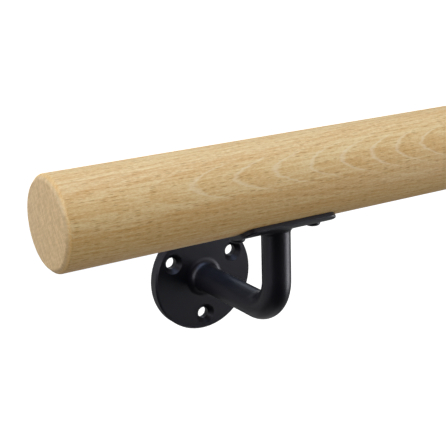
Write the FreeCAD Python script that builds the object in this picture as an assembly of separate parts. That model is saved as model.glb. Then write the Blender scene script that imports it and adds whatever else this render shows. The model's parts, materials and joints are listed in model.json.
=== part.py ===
"""A length of round hardwood stair handrail on its two black wall brackets.

The pieces are drawn as they hang on a wall: X runs along the rail from the end
that the first bracket is nearest to, Y points at the wall, Z points up, and the
rail's axis is the X axis. The finished pieces are then laid on the floor, where
the rail rests on its back and the top edges of the wall roses touch the ground.
Sizes are in millimetres and angles in degrees.
"""

import FreeCAD, Part
import math
import os
from FreeCAD import Vector

# Rail
RAIL_LENGTH = 1000.0
RAIL_DIAMETER = 45.0
RAIL_END_CHAMFER = 2.2

# Where the brackets hold the rail
BRACKET_FROM_RAIL_END = 122.5
WALL_TO_RAIL_AXIS = 77.5
ARM_AXIS_BELOW_RAIL_AXIS = 70.6

# Wall rose
ROSE_DIAMETER = 62.0
ROSE_THICKNESS = 6.0
ROSE_EDGE_CHAMFER = 0.9
WALL_HOLE_COUNT = 3
WALL_HOLE_CIRCLE = 45.0
WALL_HOLE_DIAMETER = 6.5
WALL_HOLE_SINK_DIAMETER = 11.6
FIRST_WALL_HOLE_ANGLE = 30.0

# Bent arm
ARM_DIAMETER = 15.0
ARM_BEND_RADIUS = 18.5
ARM_ROOT_FILLET = 4.0
ARM_TOP_FILLET = 2.5

# Saddle plate, rolled to the round of the rail
SADDLE_LENGTH = 56.0
SADDLE_WIDTH = 30.0
SADDLE_THICKNESS = 2.5
SADDLE_CORNER_RADIUS = 6.0
SADDLE_EDGE_CHAMFER = 0.5

# Pan-head screws that hold the saddle to the rail
SCREW_FROM_SADDLE_END = 5.0
SCREW_LENGTH = 20.0
SCREW_POINT_LENGTH = 5.0
SCREW_SHANK_DIAMETER = 4.0
SCREW_HEAD_DIAMETER = 8.0
SCREW_HEAD_HEIGHT = 2.8
SCREW_HEAD_BEVEL = 1.2
SCREW_HOLE_CLEARANCE = 0.2
SPOT_FACE_CLEARANCE = 0.3

# Worked out from the sizes above
RAIL_RADIUS = RAIL_DIAMETER / 2
ROSE_RADIUS = ROSE_DIAMETER / 2
ARM_RADIUS = ARM_DIAMETER / 2
SADDLE_OUTER_RADIUS = RAIL_RADIUS + SADDLE_THICKNESS
SADDLE_HALF_ANGLE = math.degrees(math.asin(SADDLE_WIDTH / RAIL_DIAMETER))
SCREW_SPACING = SADDLE_LENGTH - 2 * SCREW_FROM_SADDLE_END
SPOT_FACE_RADIUS = SCREW_HEAD_DIAMETER / 2 + SPOT_FACE_CLEARANCE
SCREW_SEAT_HEIGHT = -math.sqrt(SADDLE_OUTER_RADIUS**2 - SPOT_FACE_RADIUS**2)
BRACKET_PLACES = {
    "near": BRACKET_FROM_RAIL_END,
    "far": RAIL_LENGTH - BRACKET_FROM_RAIL_END,
}
SCREW_STEPS = {"inner": 0.5 * SCREW_SPACING, "outer": -0.5 * SCREW_SPACING}

ALONG = Vector(1, 0, 0)
TO_WALL = Vector(0, 1, 0)
UP = Vector(0, 0, 1)
ORIGIN = Vector(0, 0, 0)

# How far a cutting tool reaches past the face that it goes through
OVERCUT = 1.0
# How close a point lies to the curve that it is looked for on
ON_CURVE = 1e-4


def edges_where(shape, lies_there):
    """The edges of a shape whose whole length passes a test on points."""
    return [
        edge
        for edge in shape.Edges
        if all(lies_there(point) for point in edge.discretize(Number=7))
    ]


def from_rail_axis(point):
    """A point's distance from the rail's axis."""
    return math.hypot(point.y, point.z)


def make_rail():
    """The round rail, bevelled at both ends."""
    rail = Part.makeCylinder(RAIL_RADIUS, RAIL_LENGTH, ORIGIN, ALONG)

    def on_end(point):
        return min(point.x, RAIL_LENGTH - point.x) < ON_CURVE

    return rail.makeChamfer(RAIL_END_CHAMFER, edges_where(rail, on_end))


def make_rose(x):
    """The round wall plate with its countersunk screw holes."""
    front = WALL_TO_RAIL_AXIS - ROSE_THICKNESS
    centre = Vector(x, front, -ARM_AXIS_BELOW_RAIL_AXIS)
    rose = Part.makeCylinder(ROSE_RADIUS, ROSE_THICKNESS, centre, TO_WALL)

    def on_front_edge(point):
        spread = math.hypot(point.x - centre.x, point.z - centre.z)
        return abs(point.y - front) < ON_CURVE and abs(spread - ROSE_RADIUS) < ON_CURVE

    rose = rose.makeChamfer(ROSE_EDGE_CHAMFER, edges_where(rose, on_front_edge))
    hole_radius = WALL_HOLE_DIAMETER / 2
    sink_radius = WALL_HOLE_SINK_DIAMETER / 2
    sink_depth = sink_radius - hole_radius
    for k in range(WALL_HOLE_COUNT):
        angle = math.radians(FIRST_WALL_HOLE_ANGLE + 360.0 * k / WALL_HOLE_COUNT)
        reach = Vector(math.cos(angle), 0, math.sin(angle)) * (WALL_HOLE_CIRCLE / 2)
        mouth = centre + reach
        through = Part.makeCylinder(hole_radius, ROSE_THICKNESS + OVERCUT, mouth, TO_WALL)
        sink = Part.makeCone(sink_radius, hole_radius, sink_depth, mouth, TO_WALL)
        rose = rose.cut(through).cut(sink)
    return rose


def make_arm(x):
    """The round bar from the rose towards the room, bent up to the saddle."""
    arm_height = -ARM_AXIS_BELOW_RAIL_AXIS
    root = Vector(x, WALL_TO_RAIL_AXIS - ROSE_THICKNESS / 2, arm_height)
    bend_start = Vector(x, ARM_BEND_RADIUS, arm_height)
    bend_centre = Vector(x, ARM_BEND_RADIUS, arm_height + ARM_BEND_RADIUS)
    bend_end = Vector(x, 0, arm_height + ARM_BEND_RADIUS)
    half_turn = math.radians(45)
    bend_middle = bend_centre - Vector(0, math.cos(half_turn), math.sin(half_turn)) * ARM_BEND_RADIUS
    top = Vector(x, 0, -RAIL_RADIUS / 2)
    path = Part.Wire(
        [
            Part.LineSegment(root, bend_start).toShape(),
            Part.Arc(bend_start, bend_middle, bend_end).toShape(),
            Part.LineSegment(bend_end, top).toShape(),
        ]
    )
    section = Part.Wire([Part.makeCircle(ARM_RADIUS, root, TO_WALL)])
    return path.makePipeShell([section], True, False)


def make_saddle(x):
    """The plate under the rail: a rolled strip with rounded corners."""
    ends = (x - SADDLE_LENGTH / 2, x + SADDLE_LENGTH / 2)
    radii = (RAIL_RADIUS, SADDLE_OUTER_RADIUS)
    corners = [(0, 0), (1, 0), (1, 1), (0, 1), (0, 0)]
    outline = Part.makePolygon([Vector(ends[i], 0, -radii[j]) for i, j in corners])
    side = Part.Face(outline)
    side.rotate(ORIGIN, ALONG, -SADDLE_HALF_ANGLE)
    strip = side.revolve(ORIGIN, ALONG, 2 * SADDLE_HALF_ANGLE)
    corner_sine = SADDLE_WIDTH / RAIL_DIAMETER

    def on_corner(point):
        at_end = abs(abs(point.x - x) - SADDLE_LENGTH / 2) < ON_CURVE
        return at_end and abs(abs(point.y) / from_rail_axis(point) - corner_sine) < ON_CURVE

    plate = strip.makeFillet(SADDLE_CORNER_RADIUS, edges_where(strip, on_corner))

    def on_outer_rim(point):
        return abs(from_rail_axis(point) - SADDLE_OUTER_RADIUS) < ON_CURVE

    return plate.makeChamfer(SADDLE_EDGE_CHAMFER, edges_where(plate, on_outer_rim))


def make_bracket(x):
    """Rose, arm and saddle as the one casting that they are."""
    arm_height = -ARM_AXIS_BELOW_RAIL_AXIS
    rose_front = WALL_TO_RAIL_AXIS - ROSE_THICKNESS
    rail_space = Part.makeCylinder(RAIL_RADIUS, RAIL_LENGTH, ORIGIN, ALONG)
    arm = make_arm(x).cut(rail_space)
    bracket = make_rose(x).fuse(arm).fuse(make_saddle(x)).removeSplitter()

    def on_arm_root(point):
        spread = math.hypot(point.x - x, point.z - arm_height)
        return abs(point.y - rose_front) < ON_CURVE and abs(spread - ARM_RADIUS) < ON_CURVE

    bracket = bracket.makeFillet(ARM_ROOT_FILLET, edges_where(bracket, on_arm_root))

    def on_arm_top(point):
        on_bar = abs(math.hypot(point.x - x, point.y) - ARM_RADIUS) < ON_CURVE
        return on_bar and abs(from_rail_axis(point) - SADDLE_OUTER_RADIUS) < ON_CURVE

    bracket = bracket.makeFillet(ARM_TOP_FILLET, edges_where(bracket, on_arm_top))
    hole_radius = SCREW_SHANK_DIAMETER / 2 + SCREW_HOLE_CLEARANCE
    for step in SCREW_STEPS.values():
        low = Vector(x + step, 0, SCREW_SEAT_HEIGHT - SCREW_HEAD_HEIGHT)
        seat = Part.makeCylinder(SPOT_FACE_RADIUS, SCREW_HEAD_HEIGHT, low, UP)
        hole = Part.makeCylinder(hole_radius, RAIL_RADIUS, low, UP)
        bracket = bracket.cut(seat).cut(hole)
    return bracket


def make_saddle_screw(x):
    """A pan-head wood screw, driven up through the saddle into the rail."""
    head_radius = SCREW_HEAD_DIAMETER / 2
    shank_radius = SCREW_SHANK_DIAMETER / 2
    seat = SCREW_SEAT_HEIGHT
    shank_length = SCREW_LENGTH - SCREW_POINT_LENGTH
    head_low = Vector(x, 0, seat - SCREW_HEAD_HEIGHT)
    head = Part.makeCylinder(head_radius, SCREW_HEAD_HEIGHT, head_low, UP)

    def on_crown_edge(point):
        return abs(point.z - head_low.z) < ON_CURVE

    head = head.makeChamfer(SCREW_HEAD_BEVEL, edges_where(head, on_crown_edge))
    shank = Part.makeCylinder(shank_radius, shank_length, Vector(x, 0, seat), UP)
    point = Part.makeCone(shank_radius, 0, SCREW_POINT_LENGTH, Vector(x, 0, seat + shank_length), UP)
    return head.fuse(shank).fuse(point).removeSplitter()


def lay_on_floor(shape):
    """Turns a piece from its place on the wall to where it rests on the floor.

    The floor touches the rail's back and the top edge of each rose's wall face.
    The origin is on the floor, under the middle of the whole object's box.
    """
    edge_height = ROSE_RADIUS - ARM_AXIS_BELOW_RAIL_AXIS
    edge_reach = math.hypot(WALL_TO_RAIL_AXIS, edge_height)
    edge_angle = math.atan2(edge_height, WALL_TO_RAIL_AXIS)
    touch_angle = edge_angle + math.acos(RAIL_RADIUS / edge_reach)
    rose_low_edge = ARM_AXIS_BELOW_RAIL_AXIS + ROSE_RADIUS
    back = math.sin(touch_angle) * WALL_TO_RAIL_AXIS + math.cos(touch_angle) * rose_low_edge
    laid = shape.copy()
    laid.rotate(ORIGIN, ALONG, -90 - math.degrees(touch_angle))
    laid.rotate(ORIGIN, UP, 180)
    laid.translate(Vector(RAIL_LENGTH / 2, (RAIL_RADIUS - back) / 2, RAIL_RADIUS))
    return laid


def make_nodes():
    """Every piece by its name, as it hangs on the wall."""
    nodes = {}
    rail = make_rail()
    for place, x in BRACKET_PLACES.items():
        inward = 1 if x < RAIL_LENGTH / 2 else -1
        nodes[f"bracket_{place}"] = make_bracket(x)
        for side, step in SCREW_STEPS.items():
            screw = make_saddle_screw(x + inward * step)
            nodes[f"saddle_screw_{place}_{side}"] = screw
            rail = rail.cut(screw)
    nodes["rail"] = rail
    return nodes


os.makedirs("parts", exist_ok=True)
for name, shape in make_nodes().items():
    laid = lay_on_floor(shape)
    laid.exportStep(f"parts/{name}.step")
    box = laid.BoundBox
    print(
        f"{name}: {len(laid.Solids)} solid, valid {laid.isValid()}, {laid.Volume:.1f} mm3,"
        f" x {box.XMin:.2f}..{box.XMax:.2f}, y {box.YMin:.2f}..{box.YMax:.2f}, z {box.ZMin:.2f}..{box.ZMax:.2f}"
    )
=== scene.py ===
# %% [markdown]
# # A round handrail on two black wall brackets
#
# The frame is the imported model: a one-metre wooden rail, two cast brackets and the four screws
# that hold the brackets to the rail. It lies on the floor as it would after delivery, so the
# wall side points down and back. This lesson gives each piece its finish, and makes the rail
# and the screws again with the fine edges that the frame leaves out.

# %% Load the frame
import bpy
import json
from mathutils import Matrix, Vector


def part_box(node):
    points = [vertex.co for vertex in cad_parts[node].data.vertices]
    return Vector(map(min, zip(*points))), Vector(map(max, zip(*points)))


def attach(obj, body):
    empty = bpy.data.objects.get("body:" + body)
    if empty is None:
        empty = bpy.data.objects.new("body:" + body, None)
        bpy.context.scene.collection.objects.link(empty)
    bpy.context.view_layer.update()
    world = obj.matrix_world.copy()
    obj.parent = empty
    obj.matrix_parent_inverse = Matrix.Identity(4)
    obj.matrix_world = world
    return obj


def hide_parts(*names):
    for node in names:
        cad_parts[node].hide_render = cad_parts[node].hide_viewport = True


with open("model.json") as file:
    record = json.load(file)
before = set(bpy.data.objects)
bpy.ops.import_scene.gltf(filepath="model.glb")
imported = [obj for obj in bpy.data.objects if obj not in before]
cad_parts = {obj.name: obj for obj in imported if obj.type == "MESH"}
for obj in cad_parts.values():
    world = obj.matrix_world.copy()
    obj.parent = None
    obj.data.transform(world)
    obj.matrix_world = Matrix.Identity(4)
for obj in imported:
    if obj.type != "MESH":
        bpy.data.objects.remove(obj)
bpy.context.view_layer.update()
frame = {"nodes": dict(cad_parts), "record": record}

import json
import math

import bmesh
import bpy
from mathutils import Matrix, Vector

print("nodes:", sorted(frame["nodes"]))

# %% [markdown]
# ## The rail's own directions
#
# Wood grain and camera are easiest to describe on a rail that hangs on its wall: along the rail,
# towards the wall, and up. The wall's direction is the axis of a rose's mount, the rail's place is
# its box, and the third direction follows from the other two. One matrix then carries any point
# from the hung rail to where it lies on the floor.

# %% Directions of the hung rail
MILLIMETRE = 0.001

mounts = {mount["name"]: mount for mount in frame["record"]["mounts"]}
rail_low, rail_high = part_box("rail")
RAIL_RADIUS = (rail_high.z - rail_low.z) / 2
RAIL_LENGTH = rail_high.x - rail_low.x
rail_centre = (rail_low + rail_high) / 2
near_end = Vector((rail_high.x, rail_centre.y, rail_centre.z))

along = Vector((-1, 0, 0))
to_wall = Vector(mounts["wall_face_near"]["axis"]).normalized()
upward = along.cross(to_wall)
hung_turn = Matrix((along, to_wall, upward)).transposed()
hung = Matrix.Translation(near_end) @ hung_turn.to_4x4()

print(f"rail {RAIL_LENGTH:.3f} m long, {2 * RAIL_RADIUS:.4f} m across, up when hung is {upward}")

# %% [markdown]
# ## Camera
#
# The picture is taken from in front of the rail's near end, a little above it, with a long lens.
# The camera is set up beside the hung rail, by heading, dip and roll, and the same matrix that
# lays the rail down takes the camera with it.

# %% Camera
CAMERA_FROM_END = Vector((-0.17602, -0.42701, 0.13535))
CAMERA_HEADING = math.radians(32.065)
CAMERA_DIP = math.radians(16.732)
CAMERA_ROLL = math.radians(-1.736)
CAMERA_LENS = 87.78
CAMERA_SENSOR = 36.0
CAMERA_RANGE = (0.01, 60.0)


def add_object(name, data):
    """Makes an object at the origin and puts it in the scene."""
    made = bpy.data.objects.new(name, data)
    bpy.context.scene.collection.objects.link(made)
    return made


camera_data = bpy.data.cameras.new("camera")
camera_data.sensor_width = CAMERA_SENSOR
camera_data.lens = CAMERA_LENS
camera_data.clip_start, camera_data.clip_end = CAMERA_RANGE
camera = add_object("camera", camera_data)
aim = (
    Matrix.Rotation(-CAMERA_HEADING, 4, "Z")
    @ Matrix.Rotation(math.pi / 2 - CAMERA_DIP, 4, "X")
    @ Matrix.Rotation(CAMERA_ROLL, 4, "Z")
)
camera.matrix_world = hung @ Matrix.Translation(CAMERA_FROM_END) @ aim
bpy.context.scene.camera = camera

print(f"camera {camera.location.z:.3f} m above the floor")

# %% [markdown]
# ## Shader sums as plain Python
#
# A finish is a graph of nodes, and most of the nodes are small sums. The class Signal wraps a
# node's output so that Python's own operators add those Math nodes. That keeps a pattern readable
# as a formula, where the same nodes drawn by hand would fill a screen.

# %% Signal
class Signal:
    """An output socket that can be added, multiplied and divided like a number."""

    def __init__(self, graph, socket):
        self.graph = graph
        self.socket = socket

    def math(self, operation, *values):
        """A Math node that works on the values."""
        return self.graph.node("ShaderNodeMath", {"operation": operation}, list(values))

    def __add__(self, other):
        return self.math("ADD", self, other)

    def __sub__(self, other):
        return self.math("SUBTRACT", self, other)

    def __rsub__(self, other):
        return self.math("SUBTRACT", other, self)

    def __mul__(self, other):
        return self.math("MULTIPLY", self, other)

    def __truediv__(self, other):
        return self.math("DIVIDE", self, other)

    def __rtruediv__(self, other):
        return self.math("DIVIDE", other, self)

    __radd__ = __add__
    __rmul__ = __mul__

    def wrapped(self):
        """The part after the decimal point, from 0 to 1."""
        return self.math("FRACT", self)

    def size(self):
        """The value without its sign."""
        return self.math("ABSOLUTE", self)

    def sine(self):
        return self.math("SINE", self)

    def step(self, low, high):
        """A soft step from 0 at low to 1 at high; low may be the larger one."""
        settings = {"interpolation_type": "SMOOTHSTEP"}
        return self.graph.node("ShaderNodeMapRange", settings, [self, low, high, 0.0, 1.0])


print("Signal ready")

# %% [markdown]
# ## Any other node
#
# Graph.node adds every node: its settings are set first, because they decide which sockets it
# has. The other methods are short names for the kinds that these finishes use most. A Mix node
# keeps separate sockets for numbers, vectors and colours under the same names, so blend finds
# those for colours by their number. A value that is the same all over a surface goes to the
# shader's own socket, and new_finish sets those.

# %% Graph
NOISE_MIDDLE = 0.5
MIX_AMOUNT, MIX_BELOW, MIX_ABOVE, MIX_COLOUR = 0, 6, 7, 2


class Graph:
    """A node tree, with one method that adds any node to it."""

    def __init__(self, tree):
        self.tree = tree
        tree.nodes.clear()

    def node(self, kind, settings=None, sockets=(), output=0):
        """Adds a node and returns one of its outputs as a Signal."""
        made = self.tree.nodes.new(kind)
        for name, value in (settings or {}).items():
            setattr(made, name, value)
        pairs = sockets.items() if isinstance(sockets, dict) else enumerate(sockets)
        for key, value in pairs:
            if isinstance(value, Signal):
                self.tree.links.new(value.socket, made.inputs[key])
            else:
                made.inputs[key].default_value = value
        return Signal(self, made.outputs[output]) if made.outputs else None

    def blend(self, below, above, amount):
        """Mixes two colours by an amount from 0 to 1."""
        settings = {"data_type": "RGBA", "blend_type": "MIX"}
        sockets = {MIX_AMOUNT: amount, MIX_BELOW: below, MIX_ABOVE: above}
        return self.node("ShaderNodeMix", settings, sockets, MIX_COLOUR)

    def vector(self, operation, *values, output=0):
        return self.node("ShaderNodeVectorMath", {"operation": operation}, list(values), output)

    def parts(self, vector):
        """The three numbers of a vector, each as a Signal."""
        first = self.node("ShaderNodeSeparateXYZ", None, [vector])
        return [Signal(self, output) for output in first.socket.node.outputs]

    def noise(self, place, cell, detail=2.0, roughness=0.5):
        """Soft noise from 0 to 1, whose lumps are as long as the cell in each direction."""
        stretched = self.vector("DIVIDE", place, cell)
        sockets = {"Vector": stretched, "Scale": 1.0, "Detail": detail, "Roughness": roughness}
        return self.node("ShaderNodeTexNoise", {"noise_dimensions": "3D"}, sockets)

    def bump(self, height, strength, distance):
        """A normal that follows a height, which stands for a distance in metres."""
        sockets = {"Height": height, "Strength": strength, "Distance": distance}
        return self.node("ShaderNodeBump", None, sockets)


def new_finish(name, constants):
    """A material with one shader, whose unchanging values are set on its own sockets."""
    material = bpy.data.materials.new(name)
    material.use_nodes = True
    graph = Graph(material.node_tree)
    shader = graph.node("ShaderNodeBsdfPrincipled", None, constants)
    graph.node("ShaderNodeOutputMaterial", None, {"Surface": shader})
    return material, graph, shader.socket.node


def feed(graph, shader, **signals):
    """Links signals to a shader's sockets, named with _ for a space."""
    for name, signal in signals.items():
        graph.tree.links.new(signal.socket, shader.inputs[name.replace("_", " ")])


print("Graph ready")

# %% [markdown]
# ## Floor
#
# The rail lies on a plain white sheet. What was above the hung rail is below the floor here, and
# much of the light of a catalogue picture comes from there. A floor that blocked it would leave
# the rail dark, so this one works as a light table does: the camera sees it, but it casts no
# shade, reflects nothing and lets the lamps below it through. Its own glow is almost white, so
# that no grey patch shows round the rail.

# %% Floor
FLOOR_SIZE = 16.0
FLOOR_GLOW = 0.97
FLOOR_GREY = (0.6, 0.6, 0.6, 1.0)
FLOOR_ROUGHNESS = 0.9
WHITE = (1.0, 1.0, 1.0, 1.0)

floor_mesh = bpy.data.meshes.new("floor")
floor = add_object("floor", floor_mesh)
builder = bmesh.new()
bmesh.ops.create_grid(builder, x_segments=1, y_segments=1, size=FLOOR_SIZE / 2)
builder.to_mesh(floor_mesh)
builder.free()
floor_constants = {
    "Base Color": FLOOR_GREY,
    "Roughness": FLOOR_ROUGHNESS,
    "Specular IOR Level": 0.0,
    "Emission Color": WHITE,
    "Emission Strength": FLOOR_GLOW,
}
floor_mesh.materials.append(new_finish("white_floor", floor_constants)[0])
floor.visible_diffuse = False
floor.visible_glossy = False
floor.visible_shadow = False

print(f"floor {FLOOR_SIZE} m wide")

# %% [markdown]
# ## Lamps
#
# Each lamp is a soft square, most of them as wide as a window, so that none shows as a hard stripe
# on the coat or the wood, whichever side it is seen from. Its place is told as seen from the
# camera's side of the hung rail: the azimuth turns from the front to the right, the elevation
# rises from the rail's own height. Its strength is the light on a surface that faces it, where 1
# makes a white sheet white. The lamps beyond the rail's end, overhead and in front carry the
# picture, and the two small ones on the right draw the bright line down the bracket's arm. Those
# overhead are bluer, as daylight is, which pales the top of the rail. The sheets on the right and
# underneath light the saddles and screws, which face up on the floor.

# %% World and lamps
WORLD_LIGHT = 0.012
LAMP_DISTANCE = 2.4
LAMP_SIZE = 2.6
SMALL_LAMP = 1.1
NEUTRAL = (1.0, 1.0, 1.0)
DAYLIGHT = (0.86, 1.05, 1.42)
LAMP_AIM = Vector((0.15, 0.0, -0.03))

world = bpy.data.worlds.new("dim_room")
bpy.context.scene.world = world
world.use_nodes = True
room = Graph(world.node_tree)
dim_white = {"Color": WHITE, "Strength": WORLD_LIGHT}
background = room.node("ShaderNodeBackground", None, dim_white)
room.node("ShaderNodeOutputWorld", None, {"Surface": background})


def add_lamp(name, azimuth, elevation, strength, size=LAMP_SIZE, colour=NEUTRAL):
    """A soft square lamp that faces the hung rail's near bracket."""
    data = bpy.data.lights.new(name, "AREA")
    data.shape = "SQUARE"
    data.size = size
    data.color = colour
    data.energy = strength * (math.pi * LAMP_DISTANCE) ** 2
    lamp = add_object(name, data)
    sideways, rise = math.radians(azimuth), math.radians(elevation)
    level = math.cos(rise)
    direction = Vector((level * math.sin(sideways), -level * math.cos(sideways), math.sin(rise)))
    start, end = hung @ (LAMP_AIM + LAMP_DISTANCE * direction), hung @ LAMP_AIM
    turn = (end - start).to_track_quat("-Z", "Y")
    lamp.matrix_world = Matrix.Translation(start) @ turn.to_matrix().to_4x4()
    lamp.visible_camera = False


add_lamp("end_lamp", -85, 25, 0.79)
add_lamp("end_low_lamp", -100, -10, 0.105)
add_lamp("end_back_lamp", -150, -17, 0.094)
add_lamp("front_lamp", 40, 20, 0.40)
add_lamp("right_low_lamp", 55, -17, 0.10, SMALL_LAMP)
add_lamp("far_low_lamp", 70, -17, 0.29, SMALL_LAMP)
add_lamp("right_top_lamp", 120, 45, 0.15, colour=DAYLIGHT)
add_lamp("top_lamp", -90, 87, 0.68, colour=DAYLIGHT)
add_lamp("backdrop", 175, 5, 0.24)
add_lamp("right_sheet", 120, -45, 0.06)
add_lamp("under_sheet", 180, -70, 0.12)

# %% [markdown]
# ## Powder coat
#
# The brackets are cast, blasted and powder coated: a satin black skin with a very fine orange
# peel. A plain black would look like plastic. Three noises break it up: a fine one for the peel's
# bump, a slow one that lets the gloss drift over a few centimetres, as it does where the powder
# went on thicker, and a speckle. Cells are in millimetres.

# %% Black powder coat
COAT_BLACK = (0.0056, 0.0056, 0.0084, 1.0)
COAT_GREY = (0.0085, 0.0085, 0.0122, 1.0)
COAT_SHEEN = (0.86, 0.86, 1.0, 1.0)
COAT_IOR = 1.5
PEEL_CELL = (0.55,) * 3
PEEL_BUMP = {"strength": 0.12, "distance": 0.04 * MILLIMETRE}
DRIFT_CELL = (22.0,) * 3
DRIFT_DETAIL = 3.0
DRIFT_GREY = 0.7
DRIFT_GLOSS = 0.12
SPECKLE_CELL = (0.2,) * 3
SPECKLE_DETAIL = 1.0
SPECKLE_GREY = 0.5
SPECKLE_GLOSS = 0.06
GREY_STEP = (0.4, 0.9)
BRACKET_ROUGHNESS = 0.27
SCREW_ROUGHNESS = 0.36


def finish_powder_coat(name, smoothest):
    """Black powder coat, whose roughness starts at the smoothest value."""
    constants = {"IOR": COAT_IOR, "Specular Tint": COAT_SHEEN}
    material, graph, shader = new_finish(name, constants)
    stored = graph.node("ShaderNodeTexCoord", None, (), "Object")
    place = graph.vector("DIVIDE", stored, (MILLIMETRE,) * 3)
    drift = graph.noise(place, DRIFT_CELL, DRIFT_DETAIL)
    speckle = graph.noise(place, SPECKLE_CELL, SPECKLE_DETAIL)
    grey = (drift * DRIFT_GREY + speckle * SPECKLE_GREY).step(*GREY_STEP)
    colour = graph.blend(COAT_BLACK, COAT_GREY, grey)
    roughness = drift * DRIFT_GLOSS + speckle * SPECKLE_GLOSS + smoothest
    peel = graph.bump(graph.noise(place, PEEL_CELL), **PEEL_BUMP)
    feed(graph, shader, Base_Color=colour, Roughness=roughness, Normal=peel)
    return material


bracket_coat = finish_powder_coat("black_powder_coat", BRACKET_ROUGHNESS)
screw_coat = finish_powder_coat("black_screw_coat", SCREW_ROUGHNESS)
for node_name, node in frame["nodes"].items():
    if node_name.startswith("bracket"):
        node.data.materials.clear()
        node.data.materials.append(bracket_coat)
        print("coated:", node_name)

# %% [markdown]
# ## The rail
#
# A turned rail is a lathe shape. A cylinder with a bevel would do, but half of its outline spun
# round its axis gives the bevel at each end its true angle and depth. The bevel's two edges are
# then softened as sandpaper leaves them.

# %% Turned rail
END_BEVEL = 2.2 * MILLIMETRE
SANDED_EDGE = 0.6 * MILLIMETRE
SANDED_SEGMENTS = 3
RAIL_STEPS = 160
SHARP = math.radians(30)
MERGE_DISTANCE = 0.001 * MILLIMETRE


def lathe(outline, centre, axis, steps):
    """Spins a line of points round an axis and returns the bmesh."""
    builder = bmesh.new()
    points = [builder.verts.new(point) for point in outline]
    edges = [builder.edges.new(pair) for pair in zip(points, points[1:])]
    bmesh.ops.spin(
        builder,
        geom=points + edges,
        cent=centre,
        axis=axis,
        angle=2 * math.pi,
        steps=steps,
        use_merge=True,
    )
    bmesh.ops.remove_doubles(builder, verts=builder.verts, dist=MERGE_DISTANCE)
    return builder


def soften_sharp_edges(builder):
    """Rounds sharp edges, as sanding does."""
    bmesh.ops.bevel(
        builder,
        geom=[edge for edge in builder.edges if edge.calc_face_angle(0.0) > SHARP],
        offset=SANDED_EDGE,
        offset_type="OFFSET",
        segments=SANDED_SEGMENTS,
        profile=0.5,
        affect="EDGES",
        material=-1,
        clamp_overlap=True,
    )


def mesh_object(name, builder):
    """Merges a bmesh, turns its faces outwards and makes it an object at the origin."""
    bmesh.ops.remove_doubles(builder, verts=builder.verts, dist=MERGE_DISTANCE)
    bmesh.ops.recalc_face_normals(builder, faces=builder.faces)
    mesh = bpy.data.meshes.new(name)
    builder.to_mesh(mesh)
    builder.free()
    mesh.shade_smooth()
    return add_object(name, mesh)


def make_rail():
    """The bar between its two bevelled ends."""
    half = [
        (RAIL_LENGTH / 2, 0.0),
        (RAIL_LENGTH / 2, RAIL_RADIUS - END_BEVEL),
        (RAIL_LENGTH / 2 - END_BEVEL, RAIL_RADIUS),
    ]
    other = [(-x, radius) for x, radius in reversed(half)]
    outline = [rail_centre + Vector((x, 0.0, radius)) for x, radius in half + other]
    builder = lathe(outline, rail_centre, (1, 0, 0), RAIL_STEPS)
    soften_sharp_edges(builder)
    return mesh_object("turned_rail", builder)


rail = make_rail()
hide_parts("rail")
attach(rail, "root")

print("rail faces:", len(rail.data.polygons))

# %% [markdown]
# ## Screw heads
#
# Four pan-head screws hold the saddles. A screw is a lathe shape again, so its head is told as an
# outline: a crown that is almost flat, a round shoulder and a short straight rim down to the seat.
# The crown gets a few extra points, so that the recess has faces to be cut from.

# %% Outline of a pan head
HEAD_RADIUS = 4.0 * MILLIMETRE
HEAD_HEIGHT = 2.8 * MILLIMETRE
CROWN_RISE = 0.3 * MILLIMETRE
SHOULDER = 1.3 * MILLIMETRE
SHOULDER_STEPS = 6
CROWN_POINTS = (
    (0.0, 0.0),
    (0.25, 0.9 * MILLIMETRE),
    (0.5, 1.8 * MILLIMETRE),
    (1.0, HEAD_RADIUS - SHOULDER),
)


def head_outline():
    """Height above the seat and radius, from the crown's middle out to the head's rim."""
    points = [(HEAD_HEIGHT - CROWN_RISE * share**2, radius) for share, radius in CROWN_POINTS]
    corner_height = HEAD_HEIGHT - CROWN_RISE - SHOULDER
    corner_radius = HEAD_RADIUS - SHOULDER
    for k in range(1, SHOULDER_STEPS + 1):
        turn = math.pi / 2 * k / SHOULDER_STEPS
        height = corner_height + SHOULDER * math.cos(turn)
        points.append((height, corner_radius + SHOULDER * math.sin(turn)))
    return points + [(0.0, HEAD_RADIUS)]


print("points on a head's outline:", len(head_outline()))

# %% [markdown]
# ## Cross recess
#
# The recess could be a solid cross taken away from the head, but such a cut leaves thin faces on a
# small dome. Flat knife cuts are cleaner: bisect_plane draws the outline of the cross across the
# crown's faces, and the faces inside it are pushed down and drawn together, as a driver bit needs
# them. Extruding leaves the old faces in place, so those are deleted to open the recess.

# %% Cross recess
CROSS_REACH = 2.2 * MILLIMETRE
CROSS_HALF_WIDTH = 0.5 * MILLIMETRE
CROSS_DEPTH = 1.5 * MILLIMETRE
CROSS_TAPER = 0.55
KNIFE_TOLERANCE = 0.0001 * MILLIMETRE


def draw_cross(builder):
    """Cuts the outline of a cross into the faces of a head that points up the Z axis."""
    for side in (-1, 1):
        for offset in (CROSS_HALF_WIDTH, CROSS_REACH):
            for axis in (Vector((1, 0, 0)), Vector((0, 1, 0))):
                bmesh.ops.bisect_plane(
                    builder,
                    geom=builder.verts[:] + builder.edges[:] + builder.faces[:],
                    plane_co=axis * side * offset,
                    plane_no=axis,
                    dist=KNIFE_TOLERANCE,
                )


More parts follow.
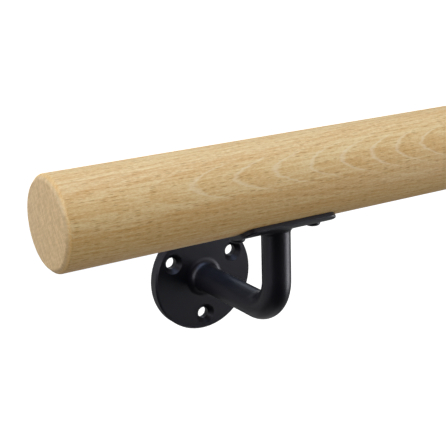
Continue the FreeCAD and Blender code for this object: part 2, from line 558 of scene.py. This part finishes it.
def sink_cross(builder):
    """Pushes the crown's faces inside the cross down, and draws them together."""
    inside = []
    for face in builder.faces:
        middle = face.calc_center_median()
        near, far = sorted((abs(middle.x), abs(middle.y)))
        if middle.z > HEAD_HEIGHT / 2 and near < CROSS_HALF_WIDTH and far < CROSS_REACH:
            inside.append(face)
    sunk = bmesh.ops.extrude_face_region(builder, geom=inside)["geom"]
    bmesh.ops.delete(builder, geom=inside, context="FACES")
    corners = [part for part in sunk if isinstance(part, bmesh.types.BMVert)]
    bmesh.ops.translate(builder, verts=corners, vec=(0, 0, -CROSS_DEPTH))
    bmesh.ops.scale(builder, verts=corners, vec=(CROSS_TAPER, CROSS_TAPER, 1))


print(f"cross {CROSS_DEPTH / MILLIMETRE:.1f} mm deep")

# %% [markdown]
# ## Screws in their places
#
# Each screw is made upright at the origin, where the cuts are simple, and then moved to the middle
# of the node that it replaces, with its head under the saddle. Nobody lines up screws by their
# recesses, so the inner and the outer one are turned differently.

# %% Saddle screws
SHANK_RADIUS = 2.0 * MILLIMETRE
POINT_LENGTH = 5.0 * MILLIMETRE
SCREW_STEPS = 48
CROSS_TURNS = {"inner": math.radians(17), "outer": math.radians(64)}


def heights_on_rail(node):
    """A node's lowest and highest point above the hung rail's axis."""
    points = [node.matrix_world @ vertex.co for vertex in node.data.vertices]
    heights = [(point - rail_centre).dot(upward) for point in points]
    return min(heights), max(heights)


def screw_place(node_name, seat):
    """The matrix that takes an upright screw to its saddle, with its head down when hung."""
    low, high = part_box(node_name)
    foot = Vector(((low.x + high.x) / 2, rail_centre.y, rail_centre.z)) + upward * seat
    head_down = Matrix((along, -to_wall, -upward)).transposed().to_4x4()
    cross_turn = Matrix.Rotation(CROSS_TURNS[node_name.split("_")[-1]], 4, "Z")
    return Matrix.Translation(foot) @ head_down @ cross_turn


def make_screw(node_name):
    """A screw with a pan head, a plain shank and a point."""
    crown, tip = heights_on_rail(frame["nodes"][node_name])
    seat = crown + HEAD_HEIGHT
    length = tip - seat
    shank = [(0.0, SHANK_RADIUS), (POINT_LENGTH - length, SHANK_RADIUS), (-length, 0.0)]
    outline = [Vector((radius, 0.0, height)) for height, radius in head_outline() + shank]
    builder = lathe(outline, (0, 0, 0), (0, 0, 1), SCREW_STEPS)
    draw_cross(builder)
    sink_cross(builder)
    bmesh.ops.transform(builder, matrix=screw_place(node_name, seat), verts=builder.verts)
    screw = mesh_object("detailed_" + node_name, builder)
    screw.data.set_sharp_from_angle(angle=SHARP)
    screw.data.materials.append(screw_coat)
    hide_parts(node_name)
    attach(screw, "root")
    return screw


screw_names = sorted(name for name in frame["nodes"] if name.startswith("saddle_screw"))
for screw_name in screw_names:
    made = make_screw(screw_name)
    print(made.name, "faces:", len(made.data.polygons))

# %% [markdown]
# ## Wood: growth rings
#
# The rail is turned from a hardwood with fine growth rings that lie almost flat in the bar and
# rise slowly along it. Where a flat ring leaves the round surface it draws an arch, and the arches
# follow each other every two centimetres. A flat picture of wood would have to be wrapped round
# the bar, with a seam. This pattern is solid instead and runs through the whole bar. It works in
# millimetres beside the hung rail, to which a Mapping node takes the object's own coordinates.
#
# A ring is told by its phase, from 0 at its edge to 1 at the next one's. A slow swell, a wander
# and a ripple keep the rings from being as even as a saw's teeth.

# %% Growth rings
RING_ANGLE = math.radians(152)
RING_SLOPE = 0.086
RING_WIDTH = 1.73
RING_SHIFT = 0.02
SWELL_START = 55.0
SWELL_LENGTH = 140.0
SWELL_RINGS = 0.38
WANDER_CELL = (30.0, 10.0, 10.0)
WANDER_RINGS = 0.35
RIPPLE_CELL = (7.0, 1.8, 1.8)
RIPPLE_RINGS = 0.3


def place_beside_rail(graph):
    """Millimetres along the hung rail from its near end, towards the wall, and up."""
    sockets = {
        "Vector": graph.node("ShaderNodeTexCoord", None, (), "Object"),
        "Location": near_end,
        "Rotation": hung_turn.to_euler(),
        "Scale": (MILLIMETRE,) * 3,
    }
    return graph.node("ShaderNodeMapping", {"vector_type": "TEXTURE"}, sockets)


def ring_depth(graph, place):
    """How far a point lies from the rail's axis, across the rings."""
    across_rings = (0.0, math.cos(RING_ANGLE), math.sin(RING_ANGLE))
    return graph.vector("DOT_PRODUCT", place, across_rings, output="Value")


def ring_phase(graph, place, distance, depth):
    """How far a point is through its ring, from 0 to 1."""
    swell = ((distance - SWELL_START) * (math.pi / SWELL_LENGTH)).sine() * SWELL_RINGS
    wander = (graph.noise(place, WANDER_CELL) - NOISE_MIDDLE) * WANDER_RINGS
    ripple = (graph.noise(place, RIPPLE_CELL) - NOISE_MIDDLE) * RIPPLE_RINGS
    rings = (depth + distance * RING_SLOPE) / RING_WIDTH + RING_SHIFT
    return (rings - swell + wander + ripple).wrapped()


print(f"an arch every {RING_WIDTH / RING_SLOPE:.0f} mm along the rail")

# %% [markdown]
# ## Wood: fibres and pores
#
# Between the rings, the colour runs from orange to pale: long streaks, fine fibres, short flecks
# and a broad drift along the bar, all stretched noises. The brown dashes are pores. A noise would
# draw them as clouds, so they are the cells of a Voronoi pattern, drawn out along the fibres. They
# are thickest just inside a ring's edge and in the darker streaks.

# %% Fibres and pores
STREAK_CELL = (36.0, 0.95, 0.95)
FIBRE_CELL = (5.5, 0.42, 0.42)
FLECK_CELL = (1.5, 0.5, 0.5)
BROAD_CELL = (150.0, 7.0, 7.0)
GRAIN_DETAIL = 2.0
GRAIN_ROUGHNESS = 0.6
STREAK_TONE = 0.34
FIBRE_TONE = 0.22
FLECK_TONE = 0.36
BROAD_TONE = 0.22
RING_TONE = 0.04
PALE_STEP = (0.34, 0.76)
PORE_CELL = (5.0, 0.52, 0.52)
PORE_STEP = (0.44, 0.22)
PORE_CHANCE = (0.6, 0.92)
PORES_IN_RINGS = 0.2
PORES_IN_STREAKS = 0.8


def grain(graph, place, cell):
    """Noise drawn out along the fibres."""
    return graph.noise(place, cell, GRAIN_DETAIL, GRAIN_ROUGHNESS)


def paleness(graph, place, streak, fibre, ring_inside):
    """0 in the orange fibres, 1 in the pale ones."""
    fleck = grain(graph, place, FLECK_CELL)
    broad = graph.noise(place, BROAD_CELL)
    tone = streak * STREAK_TONE + fibre * FIBRE_TONE + fleck * FLECK_TONE
    return (tone + broad * BROAD_TONE - ring_inside * RING_TONE).step(*PALE_STEP)


def pore_dashes(graph, place, streak, ring_inside):
    """1 inside a pore, 0 between the pores."""
    sockets = {
        "Vector": graph.vector("DIVIDE", place, PORE_CELL),
        "Scale": 1.0,
        "Randomness": 1.0,
    }
    settings = {"voronoi_dimensions": "3D"}
    to_pore = graph.node("ShaderNodeTexVoronoi", settings, sockets, "Distance")
    chance = graph.parts(Signal(graph, to_pore.socket.node.outputs["Color"]))[0]
    dark_streak = (NOISE_MIDDLE - streak) * PORES_IN_STREAKS
    present = (chance + ring_inside * PORES_IN_RINGS + dark_streak).step(*PORE_CHANCE)
    return to_pore.step(*PORE_STEP) * present


print("noise cells in mm:", STREAK_CELL, FIBRE_CELL, FLECK_CELL, BROAD_CELL)

# %% [markdown]
# ## Wood: sawn ends
#
# The sawn ends are greyer, because they show the fibres end on. Faint lines lie as the rings do,
# and the wood's rays cross them. The same solid pattern would show only dots there, so the ends
# have two noises of their own, turned to lie beside the rings. They start on the bevel.

# %% Sawn ends
END_GREY = (0.770, 0.555, 0.305, 1.0)
END_BROWN = (0.480, 0.310, 0.145, 1.0)
END_STARTS = 1.8
END_IS_FULL = 0.4
END_RING_CELL = (8.0, 1.3, 6.0)
END_RAY_CELL = (8.0, 5.0, 1.1)
END_LINE_STEP = (0.36, 0.64)
END_RING_TONE = 0.45
END_RAY_TONE = 0.3
END_PALER = 0.03


def end_colour(graph, place):
    """The colour of the sawn ends."""
    sockets = {"Vector": place, "Angle": -RING_ANGLE}
    turned = graph.node("ShaderNodeVectorRotate", {"rotation_type": "X_AXIS"}, sockets)
    rings = graph.noise(turned, END_RING_CELL).step(*END_LINE_STEP)
    rays = graph.noise(turned, END_RAY_CELL).step(*END_LINE_STEP)
    brown = rings * END_RING_TONE + rays * END_RAY_TONE - END_PALER
    return graph.blend(END_GREY, END_BROWN, brown)


def near_an_end(distance):
    """1 on the sawn ends, 0 on the bar between them."""
    half_length = RAIL_LENGTH / MILLIMETRE / 2
    from_middle = (distance - half_length).size()
    return from_middle.step(half_length - END_STARTS, half_length - END_IS_FULL)


print(f"end grain on the last {END_STARTS} mm")

# %% [markdown]
# ## Wood: the finish
#
# The layers come together as they lie in the wood: the fibres' colour, the pores, the soft pale
# edge of each ring, and the sawn ends over all. A ring's edge shows best at the tip of its arch
# and fades towards the near end. A thin, dull coat stands for the oil, and the bump is only as
# deep as sanding leaves it.

# %% Wood finish
WOOD_PALE = (0.900, 0.672, 0.325, 1.0)
WOOD_ORANGE = (0.685, 0.345, 0.074, 1.0)
PORE_BROWN = (0.500, 0.212, 0.026, 1.0)
PORE_SHADE = 0.75
RING_PALE = (0.910, 0.720, 0.430, 1.0)
RING_SHADE = 0.46
EDGE_RISE = (0.0, 0.08)
EDGE_FALL = (0.23, 0.1)
INSIDE_RISE = (0.1, 0.24)
INSIDE_FALL = (0.95, 0.3)
ARCH_TIP = (0.895, 0.98)
ARCHES_START = (35.0, 70.0)
END_SHADE = 0.85
OILED = {"IOR": 1.5, "Coat Weight": 0.3, "Coat Roughness": 0.5}
WOOD_ROUGHNESS = 0.52
FIBRE_ROUGHNESS = 0.1
PORE_ROUGHNESS = 0.1
FIBRE_HEIGHT = 0.5
PORE_DEPTH = 0.15
WOOD_BUMP = {"strength": 0.15, "distance": 0.03 * MILLIMETRE}


def finish_wood():
    """Sanded and oiled hardwood, solid through the bar."""
    material, graph, shader = new_finish("sanded_hardwood", OILED)
    place = place_beside_rail(graph)
    distance = graph.parts(place)[0]
    depth = ring_depth(graph, place)
    phase = ring_phase(graph, place, distance, depth)
    ring_edge = phase.step(*EDGE_RISE) * phase.step(*EDGE_FALL)
    ring_inside = phase.step(*INSIDE_RISE) * phase.step(*INSIDE_FALL)
    arches = (depth / (RAIL_RADIUS / MILLIMETRE)).step(*ARCH_TIP) * distance.step(*ARCHES_START)

    streak = grain(graph, place, STREAK_CELL)
    fibre = grain(graph, place, FIBRE_CELL)
    pale = paleness(graph, place, streak, fibre, ring_inside)
    pores = pore_dashes(graph, place, streak, ring_inside)
    colour = graph.blend(WOOD_ORANGE, WOOD_PALE, pale)
    colour = graph.blend(colour, PORE_BROWN, pores * PORE_SHADE)
    colour = graph.blend(colour, RING_PALE, ring_edge * arches * RING_SHADE)
    colour = graph.blend(colour, end_colour(graph, place), near_an_end(distance) * END_SHADE)

    roughness = WOOD_ROUGHNESS + fibre * FIBRE_ROUGHNESS + pores * PORE_ROUGHNESS
    grain_bump = graph.bump(fibre * FIBRE_HEIGHT - pores * PORE_DEPTH, **WOOD_BUMP)
    feed(graph, shader, Base_Color=colour, Roughness=roughness, Normal=grain_bump)
    return material


rail.data.materials.append(finish_wood())
print("wood on", rail.name)

# %% [markdown]
# ## Colours as they are
#
# The standard view keeps white paper white and the wood's own colour.

# %% Finish
bpy.context.scene.view_settings.view_transform = "Standard"
